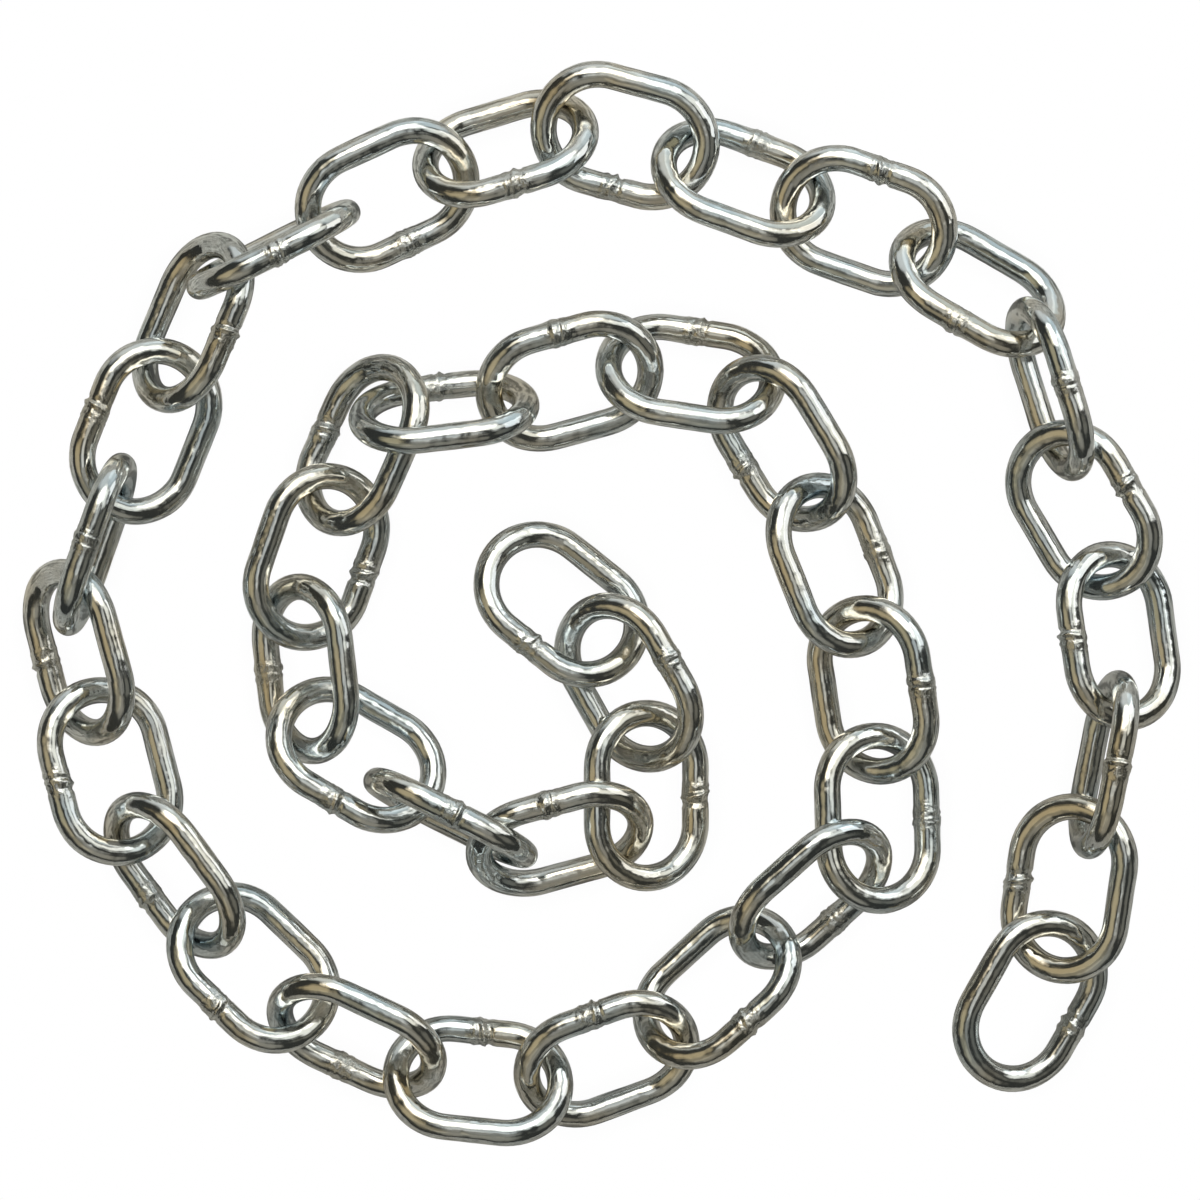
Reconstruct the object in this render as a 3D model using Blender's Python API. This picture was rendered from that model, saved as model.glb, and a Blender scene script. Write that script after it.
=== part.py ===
"""A metre of welded steel chain, laid on the floor in an open flat spiral.

Every link is a separate closed oval of round wire with a weld bead on one of its long sides, and it is
threaded through its neighbours with slack. Each link lies along one long side with the other side raised,
resting against the next links, and a link that lies nearly flat is carried a little off the floor by its
neighbours. Run it with blender --background --python part.py.
Units are metres, +Z is up, and the floor is z = 0.
"""

import math
from typing import NamedTuple

import bmesh
import bpy
import numpy as np
from mathutils import Matrix, Vector

MM = 0.001

# The wire and the oval that it is bent to
WIRE_DIAMETER = 4.8 * MM
INSIDE_LENGTH = 24.9 * MM
INSIDE_WIDTH = 14.8 * MM

# The weld bead in the middle of one long side
BEAD_LENGTH = 1.8 * MM
BEAD_FLARE = 0.5 * MM
BEAD_HEIGHT = 0.35 * MM

# How finely the round shapes are faceted, and the edges that stay sharp when they are shaded
WIRE_SIDES = 10
CROWN_STEPS = 6
SHARP_ANGLE = math.radians(50)
MERGE_DISTANCE = 0.001 * MM

# The room between two links that touch, and the most that still holds a leaning link
GAP = 0.2 * MM
HOLDING_GAP = 0.8 * MM

# Finish of the wire: bright zinc plating
ZINC_COLOUR = (0.62, 0.62, 0.60, 1.0)
ZINC_ROUGHNESS = 0.16

CROWN_RADIUS = (INSIDE_WIDTH + WIRE_DIAMETER) / 2
SIDE_LENGTH = INSIDE_LENGTH - INSIDE_WIDTH
FACET_ANGLE = 2 * math.pi / WIRE_SIDES
# A section with the area of the round wire: its corners stand out a little, and its flats lie a little in
CORNER_RADIUS = WIRE_DIAMETER / 2 * math.sqrt(2 * math.pi / (WIRE_SIDES * math.sin(FACET_ANGLE)))
FLAT_RADIUS = CORNER_RADIUS * math.cos(FACET_ANGLE / 2)


class Laid(NamedTuple):
    """How one link lies, as the photograph shows it."""

    x: float  # middle of the link, in mm
    y: float
    heading: float  # way along the chain from its outer end, in degrees from +X
    lean: float  # degrees from flat: positive has the left-hand side raised
    weld: str  # the side that carries the weld, seen along the heading


# From the outer end of the spiral to its inner end
LAID_LINKS = (
    Laid(77.4, -72.9, 60, 20, "right"),
    Laid(84.2, -53.8, 80.5, -20, "left"),
    Laid(90.7, -30.3, 82, -77, "right"),
    Laid(94.3, -6.3, 96.5, 31, "left"),
    Laid(87.8, 15.8, 126, -27, "right"),
    Laid(80.5, 40.6, 107, -62, "right"),
    Laid(68.4, 56.3, 149, 44, "left"),
    Laid(48.2, 68.1, 159, -12, "right"),
    Laid(25.7, 75.6, 160.5, 43, "right"),
    Laid(4.3, 83.8, 165, -9, "left"),
    Laid(-17.3, 82.4, 198, 48, "left"),
    Laid(-38.7, 73.2, 200, -18, "left"),
    Laid(-58.7, 62.0, 205, 80, "left"),
    Laid(-73.8, 50.9, 246, 60, "left"),
    Laid(-82.3, 30.6, 246, -14, "right"),
    Laid(-90.0, 9.2, 250.5, -84, "right"),
    Laid(-94.9, -9.0, 285, 54, "right"),
    Laid(-88.2, -30.8, 284, -15, "right"),
    Laid(-77.0, -49.5, 308, 53, "right"),
    Laid(-63.0, -66.1, 317, -18, "right"),
    Laid(-44.1, -79.2, 338, 51, "right"),
    Laid(-21.6, -87.2, 354, -26, "left"),
    Laid(0.9, -83.6, 20.5, 33, "left"),
    Laid(21.6, -69.8, 43, -33, "right"),
    Laid(38.3, -53.5, 40.5, 38, "right"),
    Laid(50.5, -38.4, 88, 26, "right"),
    Laid(49.5, -16.2, 97, -28, "right"),
    Laid(42.3, 6.3, 114, 34, "right"),
    Laid(33.0, 28.4, 121, -36, "left"),
    Laid(16.6, 41.4, 170, 39, "right"),
    Laid(-5.4, 39.6, 194, -24, "right"),
    Laid(-28.4, 33.2, 188, 56, "right"),
    Laid(-43.2, 28.3, 246, 52, "right"),
    Laid(-51.1, 7.9, 250, -21, "left"),
    Laid(-53.5, -12.6, 274, 46, "right"),
    Laid(-43.7, -28.1, 329, -24, "right"),
    Laid(-27.0, -39.1, 332, 81, "left"),
    Laid(-7.2, -43.0, 16.5, 47, "left"),
    Laid(8.6, -35.3, 90, 26, "right"),
    Laid(5.2, -14.9, 119.5, -41, "right"),
    Laid(-6.9, -0.8, 141.5, 38, "left"),
)

# Settling: how far the spiral starts drawn in and how steep its links start, how many rounds it takes, how far
# one round moves a link to its place in the photograph or lets a loose one sink, and how freely a link that is
# pushed shifts, swings round, tips up at one end, leans and is lifted off the floor
SAMPLES_PER_STEP = 5
START_SHARE = 0.85
START_LEAN = math.radians(35)
SETTLING_ROUNDS = 150
SINKING_ROUNDS = 80
PULL_TO_PHOTO = 0.03
SINK_STEP = math.radians(0.3)
SHIFT_FREEDOM = 1.0
SWING_FREEDOM = 1 / (9 * MM) ** 2
TIP_FREEDOM = 1 / (12 * MM) ** 2
LEAN_FREEDOM = 1 / (9 * MM) ** 2
LIFT_FREEDOM = 1.0


def oval_stations():
    """The corners of a link's faceted centre line, in its own plane, with its long axis along X."""
    stations = []
    for end in (1, -1):
        for step in range(CROWN_STEPS + 1):
            angle = math.pi * (step / CROWN_STEPS - 0.5)
            across = CROWN_RADIUS * math.sin(angle)
            along = SIDE_LENGTH / 2 + CROWN_RADIUS * math.cos(angle)
            stations.append((end * along, end * across))
    return np.array(stations)


def oval_samples():
    """Points along the faceted centre line, close enough together to measure the room between two links."""
    stations = oval_stations()
    ends = np.roll(stations, -1, axis=0)
    points = []
    for start, end in zip(stations, ends):
        count = max(SAMPLES_PER_STEP, round(float(np.linalg.norm(end - start)) / MM))
        for step in range(count):
            points.append(start + (end - start) * step / count)
    return np.array(points)


def sample_radii(oval, weld):
    """How far the metal reaches from each point of the centre line, to the corners of its section."""
    side = CROWN_RADIUS if weld == "left" else -CROWN_RADIUS
    from_weld = np.hypot(oval[:, 0], oval[:, 1] - side)
    return np.where(from_weld < BEAD_LENGTH / 2 + BEAD_FLARE, CORNER_RADIUS + BEAD_HEIGHT, CORNER_RADIUS)


def turned(pose):
    """The directions of a link's long axis and of its left-hand side, in space."""
    heading, tip, lean = pose[2:5]
    along = np.array([math.cos(heading) * math.cos(tip), math.sin(heading) * math.cos(tip), math.sin(tip)])
    left = np.array([-math.sin(heading), math.cos(heading), 0.0])
    side = left * math.cos(lean) + np.cross(along, left) * math.sin(lean)
    return along, left, side


def placed(oval, radii, pose):
    """The oval's points in space with its metal at its lift from the floor, and how each moves with the pose."""
    along, left, side = turned(pose)
    up = np.array([0.0, 0.0, 1.0])
    arms = np.outer(oval[:, 0], along) + np.outer(oval[:, 1], side)
    lowest = int(np.argmin(arms[:, 2] - radii))
    rise = radii[lowest] - CORNER_RADIUS + FLAT_RADIUS
    points = arms + np.array([pose[0], pose[1], rise - arms[lowest, 2] + pose[5]])
    moves = np.empty((6, len(oval), 3))
    moves[0] = (1.0, 0.0, 0.0)
    moves[1] = (0.0, 1.0, 0.0)
    for number, axis in enumerate((up, -left, along), start=2):
        moves[number] = np.cross(axis, arms)
        moves[number, :, 2] -= moves[number, lowest, 2]
    moves[5] = up
    return points, moves


def push_apart(oval, radii, poses, freedoms, first):
    """Moves a link and the next one apart, in place, where their metal comes closer than the gap.

    Returns whether they are near enough to hold each other.
    """
    second = first + 1
    points_a, moves_a = placed(oval, radii[first], poses[first])
    points_b, moves_b = placed(oval, radii[second], poses[second])
    between = points_b[None, :, :] - points_a[:, None, :]
    distances = np.linalg.norm(between, axis=2)
    room = distances - radii[first][:, None] - radii[second][None, :]
    at_a, at_b = np.unravel_index(int(np.argmin(room)), room.shape)
    short = GAP - float(room[at_a, at_b])
    if short <= 0:
        return short > GAP - HOLDING_GAP
    away = between[at_a, at_b] / distances[at_a, at_b]
    slope_a = -moves_a[:, at_a] @ away
    slope_b = moves_b[:, at_b] @ away
    ease = float(freedoms[first] @ slope_a**2 + freedoms[second] @ slope_b**2)
    poses[first] += short / ease * freedoms[first] * slope_a
    poses[second] += short / ease * freedoms[second] * slope_b
    poses[[first, second], 5] = np.maximum(poses[[first, second], 5], 0.0)
    return True


def settled_poses():
    """The pose of each link (x, y, heading, tip, lean, lift): as the photograph shows it, eased until all clear."""
    oval = oval_samples()
    radii = [sample_radii(oval, laid.weld) for laid in LAID_LINKS]
    poses = np.array(
        [
            (laid.x * MM, laid.y * MM, math.radians(laid.heading), 0.0, math.radians(laid.lean), 0.0)
            for laid in LAID_LINKS
        ]
    )
    seen = poses.copy()
    freedoms = np.tile(
        [SHIFT_FREEDOM, SHIFT_FREEDOM, SWING_FREEDOM, TIP_FREEDOM, LEAN_FREEDOM, LIFT_FREEDOM], (len(poses), 1)
    )
    # A link that lies nearly flat is steady, and one that stands on its edge leans easily
    freedoms[:, 4] *= np.sin(seen[:, 4]) ** 2
    # The inner end link lies level on the floor
    freedoms[-1, [3, 5]] = 0.0
    poses[:, :2] *= START_SHARE
    poses[:, 4] = np.sign(seen[:, 4]) * np.maximum(np.abs(seen[:, 4]), START_LEAN)
    held = np.ones(len(poses), bool)
    for round_number in range(SETTLING_ROUNDS + SINKING_ROUNDS):
        if round_number < SETTLING_ROUNDS:
            poses += PULL_TO_PHOTO * (seen - poses)
        else:
            poses[:, 4] -= np.where(held, 0.0, SINK_STEP * np.sign(poses[:, 4]))
        held[:] = False
        for index in range(len(poses) - 1):
            if push_apart(oval, radii, poses, freedoms, index):
                held[index : index + 2] = True
    return poses


def draw_straight(bm, edges, distance, scale=1.0):
    """Draws the open end of the wire on along its side, and widens or narrows its section there."""
    drawn = bmesh.ops.extrude_edge_only(bm, edges=edges)["geom"]
    corners = [item for item in drawn if isinstance(item, bmesh.types.BMVert)]
    bmesh.ops.translate(bm, verts=corners, vec=(distance, 0.0, 0.0))
    middle = sum((corner.co for corner in corners), Vector()) / len(corners)
    bmesh.ops.scale(bm, verts=corners, vec=(scale,) * 3, space=Matrix.Translation(-middle))
    return [item for item in drawn if isinstance(item, bmesh.types.BMEdge)]


def draw_crown(bm, edges, end):
    """Bends the open end of the wire half round, about the middle of the crown at that end."""
    spun = bmesh.ops.spin(
        bm,
        geom=edges,
        cent=(end * SIDE_LENGTH / 2, 0.0, 0.0),
        axis=(0.0, 0.0, 1.0),
        dvec=(0.0, 0.0, 0.0),
        angle=math.pi,
        steps=CROWN_STEPS,
        use_duplicate=False,
    )
    return [item for item in spun["geom_last"] if isinstance(item, bmesh.types.BMEdge)]


def draw_welded_side(bm, edges):
    """Draws the wire along the side that is welded, over the bead in its middle."""
    lead = SIDE_LENGTH / 2 - BEAD_LENGTH / 2 - BEAD_FLARE
    swell = 1 + BEAD_HEIGHT / CORNER_RADIUS
    edges = draw_straight(bm, edges, -lead)
    edges = draw_straight(bm, edges, -BEAD_FLARE, swell)
    edges = draw_straight(bm, edges, -BEAD_LENGTH)
    edges = draw_straight(bm, edges, -BEAD_FLARE, 1 / swell)
    return draw_straight(bm, edges, -lead)


def link_mesh(name, lean, weld):
    """One closed link in its own plane, turned in its section so that a flat of the low side faces the floor."""
    bm = bmesh.new()
    flat_direction = abs(lean) - math.pi / 2
    ring = bmesh.ops.create_circle(bm, segments=WIRE_SIDES, radius=CORNER_RADIUS, cap_ends=False)["verts"]
    for number, corner in enumerate(ring):
        angle = flat_direction + FACET_ANGLE * (number + 0.5)
        outward = CORNER_RADIUS * math.cos(angle)
        height = CORNER_RADIUS * math.sin(angle)
        corner.co = (SIDE_LENGTH / 2, -CROWN_RADIUS - outward, height)
    edges = draw_crown(bm, list(bm.edges), 1)
    edges = draw_welded_side(bm, edges)
    edges = draw_crown(bm, edges, -1)
    draw_straight(bm, edges, SIDE_LENGTH)
    bmesh.ops.remove_doubles(bm, verts=bm.verts, dist=MERGE_DISTANCE)
    if weld == "right":
        bmesh.ops.rotate(bm, verts=bm.verts, cent=(0.0, 0.0, 0.0), matrix=Matrix.Rotation(math.pi, 3, "Z"))
    bmesh.ops.recalc_face_normals(bm, faces=bm.faces)
    mesh = bpy.data.meshes.new(name)
    bm.to_mesh(mesh)
    bm.free()
    mesh.shade_smooth()
    mesh.set_sharp_from_angle(angle=SHARP_ANGLE)
    return mesh


def zinc_material():
    """Bright zinc plating on steel wire."""
    material = bpy.data.materials.new("zinc_plated_steel")
    material.use_nodes = True
    shader = material.node_tree.nodes["Principled BSDF"]
    shader.inputs["Base Color"].default_value = ZINC_COLOUR
    shader.inputs["Metallic"].default_value = 1.0
    shader.inputs["Roughness"].default_value = ZINC_ROUGHNESS
    return material


def lay_chain():
    """Makes the links, lays each in its place on the floor, and centres the spiral on the origin."""
    material = zinc_material()
    links = []
    corners = []
    for number, (laid, pose) in enumerate(zip(LAID_LINKS, settled_poses()), start=1):
        x, y, heading, tip, lean, lift = (float(value) for value in pose)
        name = f"link_{number:02d}"
        mesh = link_mesh(name, lean, laid.weld)
        mesh.materials.append(material)
        link = bpy.data.objects.new(name, mesh)
        link.rotation_euler = (lean, -tip, heading)
        turn = link.rotation_euler.to_matrix()
        arms = np.array([turn @ vertex.co for vertex in mesh.vertices])
        link.location = (x, y, lift - arms[:, 2].min())
        corners.append(arms + np.array(link.location))
        bpy.context.scene.collection.objects.link(link)
        links.append(link)
    corners = np.concatenate(corners)
    middle = (corners.min(axis=0) + corners.max(axis=0)) / 2
    for link in links:
        link.location.x -= middle[0]
        link.location.y -= middle[1]


def main():
    for leftover in list(bpy.data.objects):
        bpy.data.objects.remove(leftover, do_unlink=True)
    lay_chain()


main()
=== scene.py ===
"""Welded steel chain, forty-one links laid down as a loose spiral, dressed for its picture.

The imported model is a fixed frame. Every link is modelled again as round wire with its butt
weld, set where its solid lies, and finished in bright zinc plating. A pale table, a soft
studio with one near card, and a camera that looks straight down complete the scene.
Lengths are in metres.
"""

from __future__ import annotations

import logging
import math
import random
from dataclasses import dataclass, field
from enum import Enum
from typing import Any

import bmesh
import bpy
import numpy as np
from mathutils import Matrix, Vector

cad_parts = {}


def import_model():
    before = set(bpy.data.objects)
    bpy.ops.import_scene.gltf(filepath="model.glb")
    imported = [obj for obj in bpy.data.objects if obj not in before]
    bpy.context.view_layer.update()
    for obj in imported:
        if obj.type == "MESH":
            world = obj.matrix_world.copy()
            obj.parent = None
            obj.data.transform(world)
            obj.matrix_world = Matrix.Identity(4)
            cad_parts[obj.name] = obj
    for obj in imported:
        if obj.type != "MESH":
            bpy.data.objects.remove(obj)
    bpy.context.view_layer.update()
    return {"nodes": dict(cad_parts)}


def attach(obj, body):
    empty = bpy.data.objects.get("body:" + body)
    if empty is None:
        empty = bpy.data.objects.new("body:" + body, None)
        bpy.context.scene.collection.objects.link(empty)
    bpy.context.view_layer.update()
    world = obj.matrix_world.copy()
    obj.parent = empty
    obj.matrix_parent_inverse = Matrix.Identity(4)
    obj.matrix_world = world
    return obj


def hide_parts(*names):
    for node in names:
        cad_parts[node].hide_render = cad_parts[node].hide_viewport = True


Colour = tuple[float, float, float]

MM = 0.001
BODY = "root"
NODE_PREFIX = "link_"
MICROMETRE_DIGITS = 6

log = logging.getLogger("chain")


@dataclass(frozen=True)
class LinkSize:
    """The driving sizes of one link, the same as its solid has."""

    wire_diameter: float = 4.8 * MM
    inside_length: float = 24.9 * MM
    inside_width: float = 14.8 * MM

    @property
    def wire_radius(self) -> float:
        """Half the thickness of the wire."""
        return self.wire_diameter / 2

    @property
    def crown_radius(self) -> float:
        """From the middle of a crown's bend to the middle of its wire."""
        return (self.inside_width + self.wire_diameter) / 2

    @property
    def half_side(self) -> float:
        """Half the length of a straight side."""
        return (self.inside_length + self.wire_diameter) / 2 - self.crown_radius

    @property
    def lap(self) -> float:
        """Once round the link along the middle of its wire."""
        return 2 * math.pi * self.crown_radius + 4 * self.half_side


@dataclass(frozen=True)
class Ridge:
    """One ring of raised or sunk metal at a weld, sizes along and out of the wire."""

    place: float
    height: float
    spread: float

    def swell(self, place: float) -> float:
        """How far the ridge lifts the wire's surface at a place along it."""
        return self.height * math.exp(-(((place - self.place) / self.spread) ** 2))


class WeldKind(Enum):
    """The three looks that the butt welds have."""

    TWIN_RIDGE = "twin_ridge"
    TORN_LIP = "torn_lip"
    LOW_COLLAR = "low_collar"


@dataclass(frozen=True)
class Weld:
    """The shape of a butt weld: its ridges, and how aslant, one-sided and rough they are."""

    ridges: tuple[Ridge, ...]
    slant: float
    one_sided: tuple[float, float]
    ragged: float

    def swell(self, place: float) -> float:
        """How far the weld lifts the wire's surface at a place along it."""
        return sum(ridge.swell(place) for ridge in self.ridges)


WELDS: dict[WeldKind, Weld] = {
    WeldKind.TWIN_RIDGE: Weld(
        ridges=(
            Ridge(-0.55 * MM, 0.28 * MM, 0.50 * MM),
            Ridge(0.95 * MM, 0.09 * MM, 0.90 * MM),
            Ridge(-1.7 * MM, -0.14 * MM, 0.5 * MM),
        ),
        slant=math.radians(12),
        one_sided=(1.6 * MM, 0.6 * MM),
        ragged=0.50 * MM,
    ),
    WeldKind.TORN_LIP: Weld(
        ridges=(
            Ridge(0.2 * MM, 0.30 * MM, 0.42 * MM),
            Ridge(1.6 * MM, 0.10 * MM, 0.5 * MM),
            Ridge(-1.2 * MM, -0.20 * MM, 0.6 * MM),
        ),
        slant=math.radians(-15),
        one_sided=(-1.2 * MM, -1.0 * MM),
        ragged=0.55 * MM,
    ),
    WeldKind.LOW_COLLAR: Weld(
        ridges=(
            Ridge(0.1 * MM, 0.20 * MM, 1.2 * MM),
            Ridge(1.0 * MM, 0.10 * MM, 0.30 * MM),
            Ridge(-0.2 * MM, -0.16 * MM, 0.28 * MM),
        ),
        slant=math.radians(6),
        one_sided=(0.6 * MM, -1.4 * MM),
        ragged=0.42 * MM,
    ),
}


@dataclass
class LinkBlank:
    """One link modelled flat about the origin, long way along X, weld in its +Y side."""

    kind: WeldKind
    size: LinkSize = field(default_factory=LinkSize)
    wire_sides: int = 36
    crown_steps: int = 30
    shank_steps: int = 4
    weld_reach: float = 2.6 * MM
    weld_steps: int = 22
    slant_fade: float = 1.6
    plain_cuts: int = 9
    ragged_core: float = 0.9 * MM
    ragged_reach: float = 3.6 * MM
    merge_distance: float = 0.005 * MM

    def build(self) -> bpy.types.Object:
        """Models the link.

        Returns:
            The finished blank, smooth shaded, with its wire and weld attributes.
        """
        blank = self.draw_section()
        bpy.ops.object.mode_set(mode="EDIT")
        bpy.ops.mesh.select_all(action="SELECT")
        self.bend_crown(self.size.half_side)
        self.draw_welded_side()
        self.bend_crown(-self.size.half_side)
        self.close_plain_side(blank)
        bpy.ops.object.mode_set(mode="OBJECT")
        bpy.ops.object.shade_smooth()
        self.write_wire_places(blank.data)
        self.write_weld_weights(blank)
        return blank

    def draw_section(self) -> bpy.types.Object:
        """Adds the wire's round section at the start of the first crown.

        Returns:
            The object that the link is modelled in.
        """
        bpy.ops.object.select_all(action="DESELECT")
        bpy.ops.mesh.primitive_circle_add(
            vertices=self.wire_sides,
            radius=self.size.wire_radius,
            fill_type="NOTHING",
            location=(self.size.half_side, -self.size.crown_radius, 0.0),
            rotation=(0.0, math.pi / 2, 0.0),
        )
        bpy.ops.object.transform_apply(location=True, rotation=True, scale=True)
        blank = bpy.context.active_object
        blank.name = f"blank_{self.kind.value}"
        return blank

    def bend_crown(self, middle: float) -> None:
        """Spins the selected section half a turn about the middle of a crown's bend.

        Args:
            middle: Where that middle lies along the link.
        """
        bpy.ops.mesh.spin(
            steps=self.crown_steps,
            angle=-math.pi,
            center=(middle, 0.0, 0.0),
            axis=(0.0, 0.0, 1.0),
        )

    def welded_stations(self) -> list[float]:
        """Sets out the rings along the welded side, close together at the weld.

        Returns:
            Their places along the link, from one crown to the other.
        """
        shank = np.linspace(self.size.half_side, self.weld_reach, self.shank_steps + 1)
        middle = np.linspace(self.weld_reach, -self.weld_reach, self.weld_steps + 1)
        return [float(x) for x in (*shank[:-1], *middle, *-shank[-2::-1])]

    def draw_welded_side(self) -> None:
        """Extrudes the welded side ring by ring, swelling and slanting it at the weld."""
        weld = WELDS[self.kind]
        stations = self.welded_stations()
        slants = [weld.slant * self.slant_share(x) for x in stations]
        scale = 1.0
        turn = 0.0
        out, up = weld.one_sided
        for before, here, slant in zip(stations, stations[1:], slants[1:]):
            pivot = (here, self.size.crown_radius, 0.0)
            still = (here, self.size.crown_radius - out, -up)
            bpy.ops.mesh.extrude_edges_move(
                TRANSFORM_OT_translate={"value": (here - before, 0.0, 0.0)}
            )
            wanted = 1.0 + weld.swell(here) / self.size.wire_radius
            grow = wanted / scale
            bpy.ops.transform.rotate(value=turn, orient_axis="Z", center_override=pivot)
            bpy.ops.transform.resize(value=(1.0, grow, grow), center_override=still)
            bpy.ops.transform.rotate(value=-slant, orient_axis="Z", center_override=pivot)
            scale = wanted
            turn = slant

    def slant_share(self, place: float) -> float:
        """How much of the weld's slant a ring has, all of it in the middle of the weld."""
        return math.exp(-((place / self.weld_reach * self.slant_fade) ** 2))

    def close_plain_side(self, blank: bpy.types.Object) -> None:
        """Bridges the two open rings with the plain side and tidies the skin.

        Args:
            blank: The object in edit mode.
        """
        bpy.ops.mesh.select_mode(type="EDGE")
        bpy.ops.mesh.select_all(action="DESELECT")
        mesh = bmesh.from_edit_mesh(blank.data)
        for edge in mesh.edges:
            edge.select_set(edge.is_boundary)
        bmesh.update_edit_mesh(blank.data)
        bpy.ops.mesh.bridge_edge_loops(number_cuts=self.plain_cuts, interpolation="LINEAR")
        bpy.ops.mesh.select_all(action="SELECT")
        bpy.ops.mesh.remove_doubles(threshold=self.merge_distance)
        bpy.ops.mesh.normals_make_consistent(inside=False)

    def lap_place(self, point: Vector, from_right: bool) -> float:
        """How far along the wire a point lies, counted from the weld.

        Args:
            point: A point on the blank.
            from_right: Whether its face lies on the right of the weld.

        Returns:
            The place along the wire's middle line.
        """
        half = self.size.half_side
        radius = self.size.crown_radius
        if abs(point.x) > half:
            bend = math.atan2(point.y, abs(point.x) - half)
            place = half + radius * (math.pi / 2 - bend)
            return place if point.x < 0 else self.size.lap - place
        if point.y < 0:
            return self.size.lap / 2 + point.x
        return self.size.lap - point.x if from_right else -point.x

    def write_wire_places(self, mesh: bpy.types.Mesh) -> None:
        """Stores where each face corner lies on the wire as if it were pulled straight.

        Args:
            mesh: The blank's mesh, which gains the corner attribute wire_place.
        """
        attribute = mesh.attributes.new("wire_place", "FLOAT_VECTOR", "CORNER")
        half = self.size.half_side
        for polygon in mesh.polygons:
            from_right = polygon.center.x > 0
            for corner in polygon.loop_indices:
                point = mesh.vertices[mesh.loops[corner].vertex_index].co
                reach = math.hypot(max(abs(point.x) - half, 0.0), point.y)
                outward = reach - self.size.crown_radius
                place = self.lap_place(point, from_right)
                attribute.data[corner].vector = (outward, point.z, place)

    def write_weld_weights(self, blank: bpy.types.Object) -> None:
        """Marks how near each vertex lies to the weld, for the mesh and for the finish.

        Args:
            blank: The finished blank, which gains the group and attribute weld.
        """
        group = blank.vertex_groups.new(name="weld")
        weights = [self.weld_weight(vertex.co) for vertex in blank.data.vertices]
        for index, weight in enumerate(weights):
            if weight > 0:
                group.add([index], weight, "REPLACE")
        attribute = blank.data.attributes.new("weld_heat", "FLOAT", "POINT")
        attribute.data.foreach_set("value", weights)

    def weld_weight(self, point: Vector) -> float:
        """Works out how near a point lies to the weld.

        Args:
            point: A point on the blank.

        Returns:
            A share that is 1 on the weld and 0 past its reach.
        """
        if point.y < 0:
            return 0.0
        fade = self.ragged_reach - self.ragged_core
        near = min(1.0, max(0.0, (self.ragged_reach - abs(point.x)) / fade))
        return near * near * (3 - 2 * near)


@dataclass(frozen=True)
class LinkPose:
    """Where a link lies: its middle, its long way and the way to its welded side."""

    middle: Vector
    along: Vector
    to_weld: Vector

    @classmethod
    def of_node(cls, node: bpy.types.Object, size: LinkSize) -> LinkPose:
        """Reads the pose from the corners of a link's solid.

        Args:
            node: The solid.
            size: The sizes of the link.

        Returns:
            The pose.
        """
        flat = np.empty(len(node.data.vertices) * 3)
        node.data.vertices.foreach_get("co", flat)
        corners = np.unique(flat.reshape(-1, 3).round(MICROMETRE_DIGITS), axis=0)
        along = cls.main_ways(corners)[0]
        offsets = (corners - corners.mean(axis=0)) @ along
        in_crowns = np.abs(offsets) > size.half_side / 2
        crowns = corners[in_crowns]
        middle = crowns.mean(axis=0)
        along, across = cls.main_ways(crowns)
        bead = (corners[~in_crowns] - middle) @ across
        return cls(Vector(middle), Vector(along), Vector(across * np.sign(bead.mean())))

    @staticmethod
    def main_ways(points: np.ndarray) -> tuple[np.ndarray, np.ndarray]:
        """Finds how a cloud of points lies.

        Args:
            points: The points, one row each.

        Returns:
            The directions in which they spread most and second most.
        """
        _, ways = np.linalg.eigh(np.cov(points.T))
        return ways[:, 2], ways[:, 1]

    @property
    def matrix(self) -> Matrix:
        """Works out the move that takes the flat blank to the link's place.

        Returns:
            The turn and shift as one matrix.
        """
        ways = (self.along, self.to_weld, self.along.cross(self.to_weld))
        turn = Matrix(ways).transposed().to_4x4()
        return Matrix.Translation(self.middle) @ turn


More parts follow.
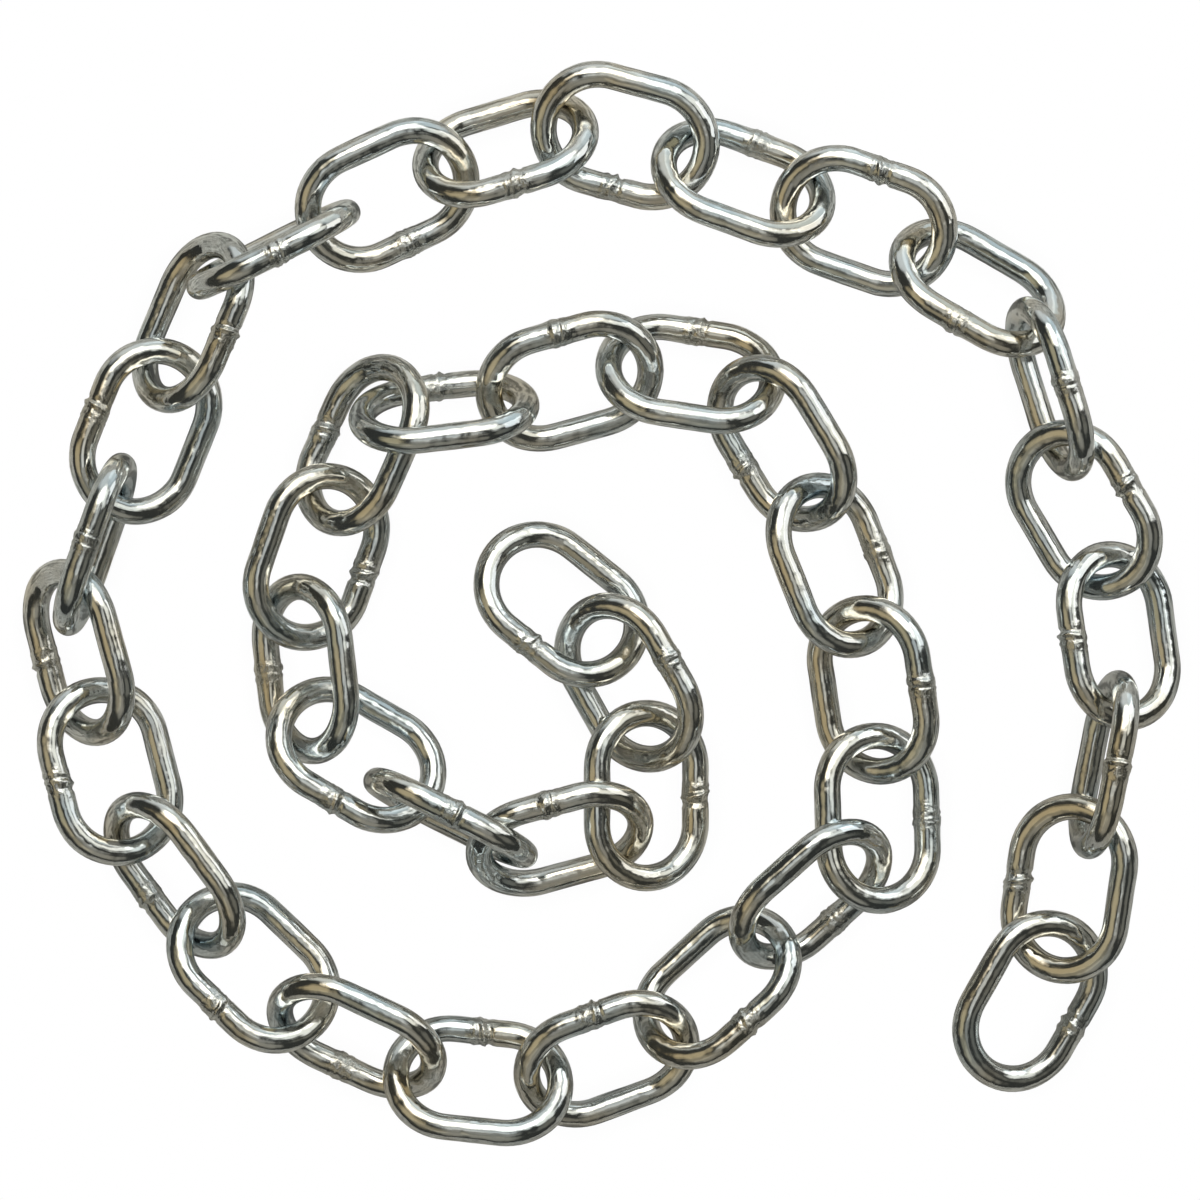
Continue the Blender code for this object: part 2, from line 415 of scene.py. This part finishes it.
@dataclass
class Chain:
    """The whole chain: a copied, placed and worked blank in the place of every solid."""

    nodes: dict[str, bpy.types.Object]
    finish: bpy.types.Material
    size: LinkSize = field(default_factory=LinkSize)
    seed: int = 41
    wobble_grain: float = 9.0 * MM
    wobble_depth: float = 0.24 * MM
    ragged_grain: float = 0.9 * MM
    lap_shift: float = 0.25

    def build(self) -> list[bpy.types.Object]:
        """Makes every link.

        Returns:
            The links in their order along the chain.
        """
        blanks = {kind: LinkBlank(kind, self.size).build() for kind in WeldKind}
        wobble = self.clouds("wire_wobble", self.wobble_grain)
        ragged = self.clouds("weld_ragged", self.ragged_grain)
        dice = random.Random(self.seed)
        links = []
        for number, name in enumerate(sorted(self.nodes), start=1):
            kind = dice.choice(list(WeldKind))
            link = self.place(blanks[kind], self.nodes[name], number)
            self.work(link, "wobble", wobble, self.wobble_depth, "")
            self.work(link, "ragged", ragged, WELDS[kind].ragged, "weld")
            self.dress(link, name)
            links.append(link)
            log.info("%s: %s weld, %d faces", link.name, kind.value, len(link.data.polygons))
        for blank in blanks.values():
            bpy.data.objects.remove(blank)
        return links

    @staticmethod
    def clouds(name: str, grain: float) -> bpy.types.Texture:
        """Makes a soft noise for working the surface.

        Args:
            name: The noise's name.
            grain: The size of its lumps.

        Returns:
            The noise.
        """
        texture = bpy.data.textures.new(name, "CLOUDS")
        texture.noise_scale = grain
        return texture

    def place(
        self, blank: bpy.types.Object, node: bpy.types.Object, number: int
    ) -> bpy.types.Object:
        """Copies a blank and lays the copy where the solid lies.

        Args:
            blank: The flat link.
            node: The solid that the copy stands for.
            number: The link's number along the chain.

        Returns:
            The copy, its place in its own mesh.
        """
        link = blank.copy()
        link.data = blank.data.copy()
        link.name = f"chain_{NODE_PREFIX}{number:02d}"
        link.data.name = link.name
        bpy.context.scene.collection.objects.link(link)
        link.data.transform(LinkPose.of_node(node, self.size).matrix)
        attribute = link.data.attributes["wire_place"]
        places = np.empty(len(link.data.loops) * 3)
        attribute.data.foreach_get("vector", places)
        places[2::3] += number * self.lap_shift
        attribute.data.foreach_set("vector", places)
        return link

    @staticmethod
    def work(
        link: bpy.types.Object, name: str, texture: bpy.types.Texture, depth: float, group: str
    ) -> None:
        """Works a noise into the link's surface, so that no two links are the same.

        Args:
            link: The link.
            name: The modifier's name.
            texture: The noise.
            depth: From the lowest to the highest worked point.
            group: The vertices that are worked, or nothing for all of them.
        """
        bpy.ops.object.select_all(action="DESELECT")
        bpy.context.view_layer.objects.active = link
        link.select_set(True)
        modifier = link.modifiers.new(name, "DISPLACE")
        modifier.texture = texture
        modifier.texture_coords = "GLOBAL"
        modifier.strength = depth
        modifier.mid_level = 0.5
        modifier.vertex_group = group
        bpy.ops.object.modifier_apply(modifier=name)

    def dress(self, link: bpy.types.Object, node_name: str) -> None:
        """Gives a link its finish, ties it to its body and hides the solid that it stands for.

        Args:
            link: The link.
            node_name: The solid that it stands for.
        """
        link.data.materials.append(self.finish)
        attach(link, BODY)
        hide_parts(node_name)


@dataclass(frozen=True)
class Ramp:
    """How a value that runs from low to high is spread over the range from least to most."""

    low: float
    high: float
    least: float
    most: float


class NodeBoard:
    """A node tree that is wired up by code, one node at a time."""

    def __init__(self, tree: bpy.types.NodeTree) -> None:
        """Clears a tree to start from."""
        self.tree = tree
        tree.nodes.clear()

    def add(
        self, kind: str, inputs: dict[str | int, Any] | None = None, **settings: Any
    ) -> bpy.types.Node:
        """Adds a node.

        Args:
            kind: The node's type name.
            inputs: What each input takes, a plain value or another node's output.
            settings: The node's own settings.

        Returns:
            The node.
        """
        node = self.tree.nodes.new(kind)
        for name, value in settings.items():
            setattr(node, name, value)
        for name, value in (inputs or {}).items():
            if isinstance(value, bpy.types.NodeSocket):
                self.tree.links.new(value, node.inputs[name])
            else:
                node.inputs[name].default_value = value
        return node

    def noise(self, where: Any, scale: float, detail: float) -> Any:
        """A grey noise, lumps of about one over its scale."""
        inputs = {"Vector": where, "Scale": scale, "Detail": detail}
        return self.add("ShaderNodeTexNoise", inputs).outputs["Fac"]

    def spread(self, value: Any, ramp: Ramp) -> Any:
        """Spreads a value as a ramp says."""
        inputs = {0: value, 1: ramp.low, 2: ramp.high, 3: ramp.least, 4: ramp.most}
        return self.add("ShaderNodeMapRange", inputs).outputs[0]

    def blend(self, share: Any, first: Any, second: Any) -> Any:
        """Mixes two colours by a share."""
        inputs = {0: share, 6: first, 7: second}
        return self.add("ShaderNodeMix", inputs, data_type="RGBA").outputs[2]

    def maths(self, operation: str, first: Any, second: Any) -> Any:
        """Works out one sum."""
        node = self.add("ShaderNodeMath", {0: first, 1: second}, operation=operation)
        return node.outputs[0]

    def dot(self, first: Any, second: Any) -> Any:
        """Works out how far one vector reaches along another.

        Args:
            first: A vector or an output.
            second: A vector or an output.

        Returns:
            The output that gives the reach.
        """
        inputs = {0: first, 1: second}
        node = self.add("ShaderNodeVectorMath", inputs, operation="DOT_PRODUCT")
        return node.outputs["Value"]


@dataclass(frozen=True)
class ZincPlate:
    """Bright zinc plating on drawn wire: glossy, softly rippled and tinted in places."""

    name: str = "bright_zinc_plate"
    plain: Colour = (0.77, 0.79, 0.785)
    straw: Colour = (0.77, 0.69, 0.54)
    steel_blue: Colour = (0.60, 0.69, 0.74)
    heat_grey: Colour = (0.50, 0.50, 0.47)
    tint_scale: float = 70.0
    cloud_scale: float = 280.0
    ripple_scale: float = 330.0
    pit_scale: float = 1500.0
    drawn_scale: tuple[float, float, float] = (1400.0, 1400.0, 45.0)
    straw_patches: Ramp = Ramp(0.50, 0.66, 0.0, 0.55)
    blue_patches: Ramp = Ramp(0.49, 0.34, 0.0, 0.70)
    heat_tint: float = 0.35
    cloud_roughness: Ramp = Ramp(0.35, 0.75, 0.07, 0.18)
    line_roughness: Ramp = Ramp(0.45, 0.80, 0.0, 0.06)
    heat_roughness: float = 0.10
    ripple_height: float = 0.20
    line_height: float = 0.05
    pit_height: Ramp = Ramp(0.0, 1.0, 0.012, 0.12)
    full_height: float = 1.0 * MM

    def material(self) -> bpy.types.Material:
        """Builds the finish.

        Returns:
            The material.
        """
        material = bpy.data.materials.new(self.name)
        material.use_nodes = True
        board = NodeBoard(material.node_tree)
        space = board.add("ShaderNodeTexCoord").outputs["Object"]
        wire = board.add("ShaderNodeAttribute", attribute_name="wire_place").outputs["Vector"]
        heat = board.add("ShaderNodeAttribute", attribute_name="weld_heat").outputs["Fac"]
        drawn = board.add("ShaderNodeMapping", {"Vector": wire, "Scale": self.drawn_scale})
        streaks = board.noise(drawn.outputs[0], 1.0, 3.0)
        shader = board.add(
            "ShaderNodeBsdfPrincipled",
            {
                "Base Color": self.colour(board, space, heat),
                "Metallic": 1.0,
                "Roughness": self.roughness(board, space, streaks, heat),
                "Normal": self.relief(board, space, streaks, heat),
            },
        )
        board.add("ShaderNodeOutputMaterial", {"Surface": shader.outputs[0]})
        return material

    def colour(self, board: NodeBoard, space: Any, heat: Any) -> Any:
        """Plain zinc that turns straw or blue in patches and dull grey at the weld.

        Args:
            board: The board to add to.
            space: Places in the model.
            heat: How near the weld is.

        Returns:
            The colour output.
        """
        patches = board.noise(space, self.tint_scale, 2.0)
        straw_share = board.spread(patches, self.straw_patches)
        blue_share = board.spread(patches, self.blue_patches)
        tinted = board.blend(straw_share, (*self.plain, 1.0), (*self.straw, 1.0))
        tinted = board.blend(blue_share, tinted, (*self.steel_blue, 1.0))
        heat_share = board.maths("MULTIPLY", heat, self.heat_tint)
        return board.blend(heat_share, tinted, (*self.heat_grey, 1.0))

    def roughness(self, board: NodeBoard, space: Any, streaks: Any, heat: Any) -> Any:
        """Glossy wire, duller along its drawing lines, in cloudy patches and at the weld.

        Args:
            board: The board to add to.
            space: Places in the model.
            streaks: The drawing lines.
            heat: How near the weld is.

        Returns:
            The roughness output.
        """
        clouds = board.noise(space, self.cloud_scale, 3.0)
        rough = board.spread(clouds, self.cloud_roughness)
        lines = board.spread(streaks, self.line_roughness)
        scale = board.maths("MULTIPLY", heat, self.heat_roughness)
        return board.maths("ADD", board.maths("ADD", rough, lines), scale)

    def relief(self, board: NodeBoard, space: Any, streaks: Any, heat: Any) -> Any:
        """Soft ripples of the plating, faint drawing lines and pits that crowd at the weld.

        Args:
            board: The board to add to.
            space: Places in the model.
            streaks: The drawing lines.
            heat: How near the weld is.

        Returns:
            The normal output.
        """
        ripples = board.noise(space, self.ripple_scale, 1.0)
        pits = board.noise(space, self.pit_scale, 2.0)
        height = board.maths("MULTIPLY", ripples, self.ripple_height)
        lines = board.maths("MULTIPLY", streaks, self.line_height)
        height = board.maths("ADD", height, lines)
        pitted = board.maths("MULTIPLY", pits, board.spread(heat, self.pit_height))
        height = board.maths("ADD", height, pitted)
        bump = {"Strength": 1.0, "Distance": self.full_height, "Height": height}
        return board.add("ShaderNodeBump", bump).outputs[0]


@dataclass(frozen=True)
class PaleFloor:
    """The white table under the chain; what the wire mirrors of it carries painted shade, dark
    patches and a darkening one way.
    """

    half_width: float = 3.0
    squares: int = 4
    seen: float = 1.0
    near_paint: Colour = (0.95, 0.95, 0.94)
    # painted shade: the table darkens to this colour towards the lower right, seen only in the
    # wire's reflections
    far_painted_shade: Colour = (0.66, 0.66, 0.65)
    # painted shade: dark patches on the table, seen only in the wire's reflections
    painted_shade_patch_colour: Colour = (0.18, 0.18, 0.17)
    patch_scale: float = 110.0
    painted_shade_patches: Ramp = Ramp(0.47, 0.57, 0.0, 0.9)
    dims_towards: tuple[float, float, float] = (0.6, -0.8, 0.0)
    dims_over: float = 0.10
    lift: float = 0.04
    contact_reach: float = 4.0 * MM
    contact_shade: float = 0.04
    shade_samples: int = 4

    def build(self, height: float) -> bpy.types.Object:
        """Lays the table.

        Args:
            height: Where its top lies.

        Returns:
            The table.
        """
        bpy.ops.object.select_all(action="DESELECT")
        bpy.ops.mesh.primitive_grid_add(
            x_subdivisions=self.squares,
            y_subdivisions=self.squares,
            size=2 * self.half_width,
            location=(0.0, 0.0, height),
        )
        bpy.ops.object.transform_apply(location=True, rotation=True, scale=True)
        floor = bpy.context.active_object
        floor.name = "pale_floor"
        floor.data.materials.append(self.material())
        return floor

    def material(self) -> bpy.types.Material:
        """Builds the table's paint, white to the eye with a faint shade where something lies; what
        the wire mirrors of it has painted shade, darker towards the lower right and in dark
        patches.

        Returns:
            The material.
        """
        material = bpy.data.materials.new("pale_table")
        material.use_nodes = True
        board = NodeBoard(material.node_tree)
        near = board.add(
            "ShaderNodeAmbientOcclusion",
            {"Distance": self.contact_reach},
            samples=self.shade_samples,
        )
        shade = Ramp(0.0, 1.0, self.seen - self.contact_shade, self.seen)
        seen = board.spread(near.outputs["AO"], shade)
        bright = board.add("ShaderNodeEmission", {"Strength": seen})
        space = board.add("ShaderNodeTexCoord").outputs["Object"]
        # painted shade: what the wire mirrors of the table darkens towards the lower right
        along = board.dot(space, self.dims_towards)
        share = board.spread(along, Ramp(-self.dims_over, self.dims_over, 0.0, 1.0))
        paint = board.blend(share, (*self.near_paint, 1.0), (*self.far_painted_shade, 1.0))
        # painted shade: dark patches in what the wire mirrors of the table
        painted_shade_share = board.spread(board.noise(space, self.patch_scale, 2.0), self.painted_shade_patches)
        paint = board.blend(painted_shade_share, paint, (*self.painted_shade_patch_colour, 1.0))
        painted = board.add("ShaderNodeBsdfDiffuse", {"Color": paint})
        lifted = board.add("ShaderNodeEmission", {"Strength": self.lift})
        lit = board.add("ShaderNodeAddShader", {0: painted.outputs[0], 1: lifted.outputs[0]})
        look = board.add("ShaderNodeLightPath").outputs["Is Camera Ray"]
        sides = {0: look, 1: lit.outputs[0], 2: bright.outputs[0]}
        shader = board.add("ShaderNodeMixShader", sides)
        board.add("ShaderNodeOutputMaterial", {"Surface": shader.outputs[0]})
        return material


@dataclass(frozen=True)
class Glow:
    """A round soft patch of light in the studio, angles in degrees."""

    bearing: float
    from_top: float
    core: float
    reach: float
    colour: Colour

    @property
    def way(self) -> Vector:
        """Works out the direction of the patch's middle.

        Returns:
            A unit vector; bearing 0 is up the picture and 90 is to its right.
        """
        turn = math.radians(self.bearing)
        tip = math.radians(self.from_top)
        sideways = math.sin(tip)
        return Vector((sideways * math.sin(turn), sideways * math.cos(turn), math.cos(tip)))


@dataclass(frozen=True)
class Studio:
    """The room round the table: a dim warm ceiling with soft lights in it."""

    ceiling: Colour = (0.036, 0.037, 0.033)
    backdrop: Colour = (1.0, 1.0, 1.0)
    glows: tuple[Glow, ...] = (
        Glow(4.0, 37.0, 5.0, 29.0, (2.45, 2.40, 2.20)),
        Glow(325.0, 32.0, 4.0, 17.0, (0.92, 0.79, 0.57)),
        Glow(263.0, 42.0, 7.0, 27.0, (0.42, 0.345, 0.205)),
        Glow(215.0, 46.0, 6.0, 25.0, (0.235, 0.205, 0.14)),
        Glow(178.0, 52.0, 6.0, 27.0, (0.24, 0.225, 0.185)),
        Glow(165.0, 18.0, 4.0, 20.0, (0.25, 0.24, 0.21)),
        Glow(62.0, 40.0, 6.0, 20.0, (0.97, 0.97, 0.89)),
        Glow(110.0, 56.0, 5.0, 20.0, (0.12, 0.115, 0.095)),
        Glow(30.0, 80.0, 8.0, 30.0, (0.60, 0.67, 0.68)),
        Glow(350.0, 83.0, 10.0, 35.0, (0.64, 0.665, 0.65)),
        Glow(80.0, 3.0, 4.0, 16.0, (0.50, 0.51, 0.49)),
    )

    def build(self) -> None:
        """Lights the scene from all round."""
        scene = bpy.context.scene
        world = scene.world or bpy.data.worlds.new("studio")
        scene.world = world
        world.use_nodes = True
        board = NodeBoard(world.node_tree)
        way = board.add("ShaderNodeTexCoord").outputs["Generated"]
        light: Any = self.ceiling
        for glow in self.glows:
            light = self.add_glow(board, way, light, glow)
        room = board.add("ShaderNodeBackground", {"Color": light})
        seen = board.add("ShaderNodeBackground", {"Color": (*self.backdrop, 1.0)})
        look = board.add("ShaderNodeLightPath").outputs["Is Camera Ray"]
        sides = {0: look, 1: room.outputs[0], 2: seen.outputs[0]}
        mixed = board.add("ShaderNodeMixShader", sides)
        board.add("ShaderNodeOutputWorld", {"Surface": mixed.outputs[0]})
        scene.view_settings.view_transform = "Standard"

    @staticmethod
    def add_glow(board: NodeBoard, way: Any, light: Any, glow: Glow) -> Any:
        """Adds one patch of light to what the room gives so far.

        Args:
            board: The world's board.
            way: The direction that is looked in.
            light: The light so far, a colour or an output.
            glow: The patch.

        Returns:
            The light with the patch added.
        """
        near = board.dot(way, glow.way)
        limits = [math.cos(math.radians(angle)) for angle in (glow.reach, glow.core)]
        share = board.add(
            "ShaderNodeMapRange",
            {0: near, 1: limits[0], 2: limits[1]},
            interpolation_type="SMOOTHSTEP",
        ).outputs[0]
        patch = board.add(
            "ShaderNodeVectorMath", {0: glow.colour, "Scale": share}, operation="SCALE"
        ).outputs[0]
        return board.add(
            "ShaderNodeVectorMath", {0: light, 1: patch}, operation="ADD"
        ).outputs[0]


@dataclass(frozen=True)
class SideCard:
    """A bright card near the chain's upper right, which leaves the lower links darker."""

    place: tuple[float, float, float] = (0.30, 0.18, 0.15)
    aim: tuple[float, float, float] = (0.03, 0.08, 0.0)
    width: float = 0.24
    height: float = 0.20
    power: float = 0.17
    colour: Colour = (1.0, 1.0, 0.97)

    def build(self) -> bpy.types.Object:
        """Stands the card up, unseen by the camera itself.

        Returns:
            The light.
        """
        data = bpy.data.lights.new("side_card", "AREA")
        data.shape = "RECTANGLE"
        data.size = self.width
        data.size_y = self.height
        data.energy = self.power
        data.color = self.colour
        card = bpy.data.objects.new("side_card", data)
        card.location = self.place
        way = Vector(self.aim) - Vector(self.place)
        card.rotation_euler = way.to_track_quat("-Z", "Y").to_euler()
        card.visible_camera = False
        bpy.context.scene.collection.objects.link(card)
        return card


@dataclass(frozen=True)
class PictureCamera:
    """A long lens straight above the chain, the top of the picture towards +Y."""

    middle: tuple[float, float] = (-0.00031, 0.00072)
    frame_width: float = 0.216
    wire_level: float = 8 * MM
    height: float = 1.6
    sight: float = 20.0

    def build(self) -> bpy.types.Object:
        """Sets up the camera.

        Returns:
            The camera.
        """
        data = bpy.data.cameras.new("picture_camera")
        data.lens = data.sensor_width * (self.height - self.wire_level) / self.frame_width
        data.clip_end = self.sight
        camera = bpy.data.objects.new("picture_camera", data)
        camera.location = (*self.middle, self.height)
        bpy.context.scene.collection.objects.link(camera)
        bpy.context.scene.camera = camera
        return camera


def main() -> None:
    """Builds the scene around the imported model."""
    logging.basicConfig(level=logging.INFO, format="%(message)s")
    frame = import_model()
    PictureCamera().build()
    chain = Chain(frame["nodes"], ZincPlate().material())
    links = chain.build()
    lowest = min(vertex.co.z for link in links for vertex in link.data.vertices)
    PaleFloor().build(lowest)
    Studio().build()
    SideCard().build()
    log.info("%d links, lowest point at %.3f mm", len(links), lowest / MM)


if __name__ == "__main__":
    main()
